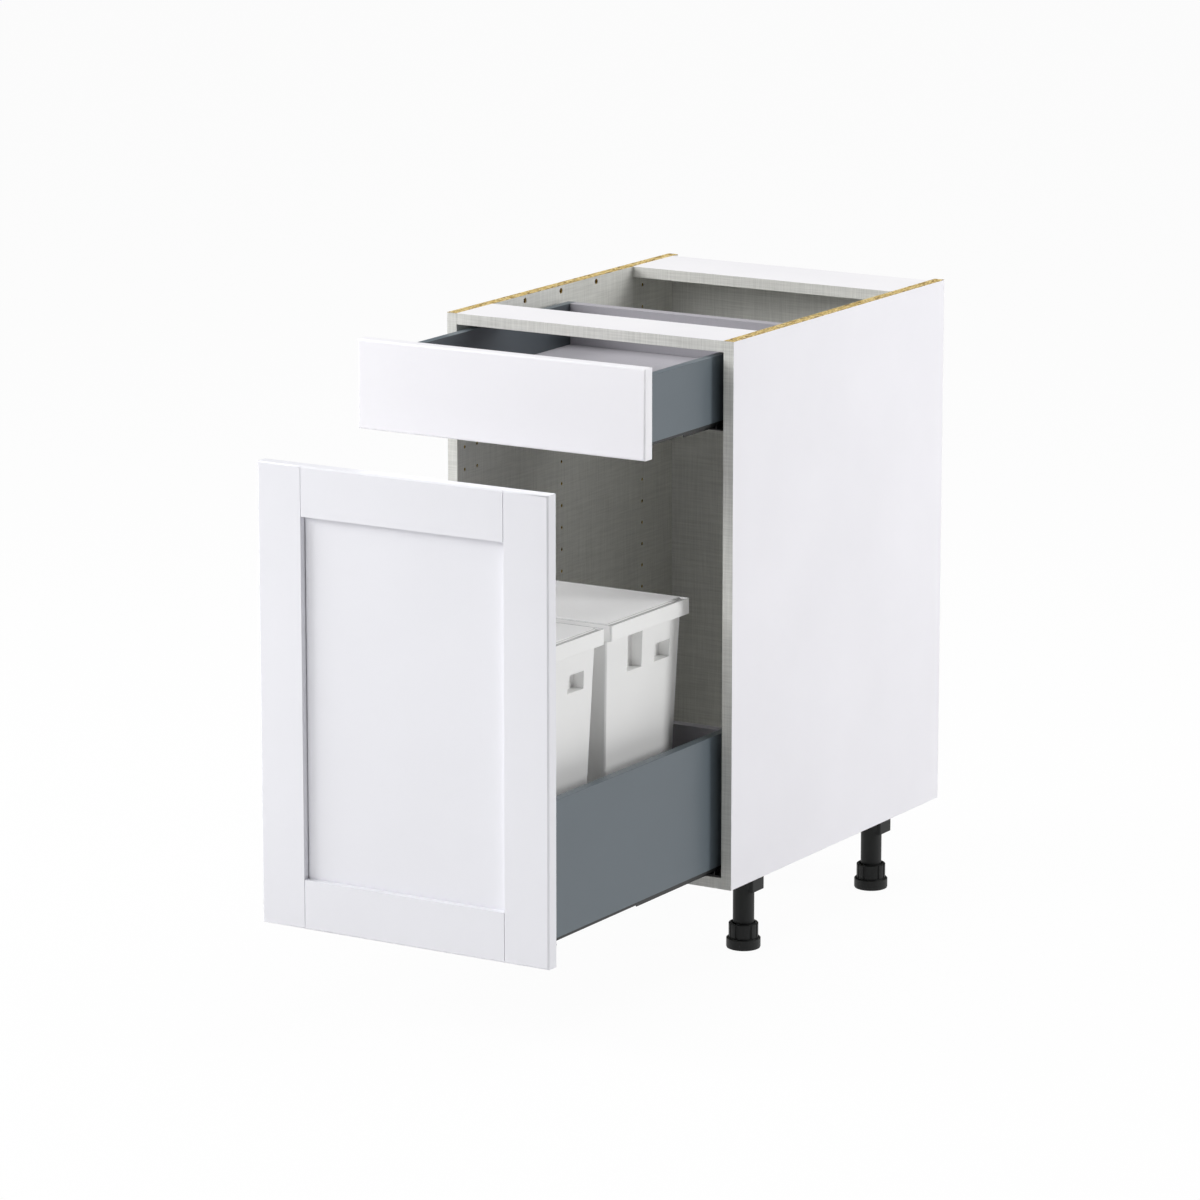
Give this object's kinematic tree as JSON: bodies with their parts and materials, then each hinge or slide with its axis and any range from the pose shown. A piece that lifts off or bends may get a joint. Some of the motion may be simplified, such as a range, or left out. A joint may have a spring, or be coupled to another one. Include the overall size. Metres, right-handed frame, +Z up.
{
  "type": "pull-out base cabinet",
  "caption": "Kitchen base cabinet on levelling legs: a shallow drawer over a tall shaker-door pull-out that carries lidded waste bins on telescopic ball runners.",
  "frame": {"origin": "on the floor, under the middle of the open cabinet's overall box", "axes": "+X to the cabinet's right as seen from the front, +Y from the fronts to the back, +Z up"},
  "size_m": [0.4572, 1.068, 0.8763],
  "materials": {
    "side_board": "satin",
    "linen_board": "satin",
    "beech": "matte",
    "black_plastic": "satin",
    "zinc_steel": "satin",
    "dark_steel": "satin",
    "grey_steel": "satin",
    "tray_board": "satin",
    "white_front": "satin",
    "clear_plastic": "gloss",
    "bin_plastic": "satin"
  },
  "bodies": {
    "cabinet": {"side_panel_left": "side_board", "side_panel_right": "side_board", "bottom_panel": "linen_board", "back_panel": "linen_board", "front_top_rail": "linen_board", "rear_top_rail": "linen_board", "carcass_dowels": "beech", "leg_sockets": "black_plastic", "leg_tubes": "black_plastic", "leg_screws": "zinc_steel", "drawer_runner_left": "dark_steel", "drawer_runner_right": "dark_steel", "pullout_runner_left": "dark_steel", "pullout_runner_right": "dark_steel", "runner_screws": "zinc_steel"},
    "drawer": {"drawer_front": "white_front", "drawer_bumpers": "clear_plastic", "drawer_wall_left": "grey_steel", "drawer_wall_right": "grey_steel", "drawer_bottom": "tray_board", "drawer_back": "tray_board", "drawer_rail_left": "dark_steel", "drawer_rail_right": "dark_steel", "drawer_front_brackets": "zinc_steel", "drawer_back_brackets": "grey_steel", "drawer_screws": "zinc_steel"},
    "drawer_middle_rails": {"drawer_middle_rail_left": "dark_steel", "drawer_middle_rail_right": "dark_steel"},
    "drawer_lower_cages": {"drawer_lower_cages": "zinc_steel"},
    "drawer_upper_cages": {"drawer_upper_cages": "zinc_steel"},
    "pullout": {"door_stile_left": "white_front", "door_stile_right": "white_front", "door_rail_top": "white_front", "door_rail_bottom": "white_front", "door_panel": "white_front", "door_bumpers": "clear_plastic", "pullout_wall_left": "grey_steel", "pullout_wall_right": "grey_steel", "pullout_bottom": "tray_board", "pullout_back": "tray_board", "pullout_rail_left": "dark_steel", "pullout_rail_right": "dark_steel", "pullout_front_brackets": "zinc_steel", "pullout_back_brackets": "grey_steel", "pullout_screws": "zinc_steel"},
    "pullout_middle_rails": {"pullout_middle_rail_left": "dark_steel", "pullout_middle_rail_right": "dark_steel"},
    "pullout_lower_cages": {"pullout_lower_cages": "zinc_steel"},
    "pullout_upper_cages": {"pullout_upper_cages": "zinc_steel"},
    "bin_front": {"bin_front": "bin_plastic"},
    "lid_front": {"lid_front": "bin_plastic"},
    "bin_rear": {"bin_rear": "bin_plastic"},
    "lid_rear": {"lid_rear": "bin_plastic"},
    "foot_front_left": {"foot_front_left": "black_plastic"},
    "foot_front_right": {"foot_front_right": "black_plastic"},
    "foot_rear_left": {"foot_rear_left": "black_plastic"},
    "foot_rear_right": {"foot_rear_right": "black_plastic"}
  },
  "joints": [
    {"name": "drawer_slide", "type": "slide", "parent": "cabinet", "child": "drawer", "axis": [0, -1, 0], "range_m": [-0.206, 0.28]},
    {"name": "drawer_middle_rails_slide", "type": "slide", "parent": "cabinet", "child": "drawer_middle_rails", "axis": [0, -1, 0], "range_m": [-0.103, 0.14]},
    {"name": "drawer_lower_cages_slide", "type": "slide", "parent": "cabinet", "child": "drawer_lower_cages", "axis": [0, -1, 0], "range_m": [-0.0515, 0.07]},
    {"name": "drawer_upper_cages_slide", "type": "slide", "parent": "cabinet", "child": "drawer_upper_cages", "axis": [0, -1, 0], "range_m": [-0.1545, 0.21]},
    {"name": "pullout_slide", "type": "slide", "parent": "cabinet", "child": "pullout", "axis": [0, -1, 0], "range_m": [-0.447, 0.039]},
    {"name": "pullout_middle_rails_slide", "type": "slide", "parent": "cabinet", "child": "pullout_middle_rails", "axis": [0, -1, 0], "range_m": [-0.2235, 0.0195]},
    {"name": "pullout_lower_cages_slide", "type": "slide", "parent": "cabinet", "child": "pullout_lower_cages", "axis": [0, -1, 0], "range_m": [-0.11175, 0.00975]},
    {"name": "pullout_upper_cages_slide", "type": "slide", "parent": "cabinet", "child": "pullout_upper_cages", "axis": [0, -1, 0], "range_m": [-0.33525, 0.02925]},
    {"name": "bin_front_lift", "type": "slide", "parent": "pullout", "child": "bin_front", "axis": [0, 0, 1], "range_m": [0, 0.16]},
    {"name": "lid_front_lift", "type": "slide", "parent": "bin_front", "child": "lid_front", "axis": [0, 0, 1], "range_m": [0, 0.06]},
    {"name": "bin_rear_lift", "type": "slide", "parent": "pullout", "child": "bin_rear", "axis": [0, 0, 1], "range_m": [0, 0.16]},
    {"name": "lid_rear_lift", "type": "slide", "parent": "bin_rear", "child": "lid_rear", "axis": [0, 0, 1], "range_m": [0, 0.06]},
    {"name": "foot_front_left_height", "type": "slide", "parent": "cabinet", "child": "foot_front_left", "axis": [0, 0, -1], "range_m": [-0.005, 0.02]},
    {"name": "foot_front_right_height", "type": "slide", "parent": "cabinet", "child": "foot_front_right", "axis": [0, 0, -1], "range_m": [-0.005, 0.02]},
    {"name": "foot_rear_left_height", "type": "slide", "parent": "cabinet", "child": "foot_rear_left", "axis": [0, 0, -1], "range_m": [-0.005, 0.02]},
    {"name": "foot_rear_right_height", "type": "slide", "parent": "cabinet", "child": "foot_rear_right", "axis": [0, 0, -1], "range_m": [-0.005, 0.02]}
  ],
  "couplings": [
    {"joint": "drawer_middle_rails_slide", "follows": "drawer_slide", "ratio": 0.5},
    {"joint": "drawer_lower_cages_slide", "follows": "drawer_slide", "ratio": 0.25},
    {"joint": "drawer_upper_cages_slide", "follows": "drawer_slide", "ratio": 0.75},
    {"joint": "pullout_middle_rails_slide", "follows": "pullout_slide", "ratio": 0.5},
    {"joint": "pullout_lower_cages_slide", "follows": "pullout_slide", "ratio": 0.25},
    {"joint": "pullout_upper_cages_slide", "follows": "pullout_slide", "ratio": 0.75}
  ]
}
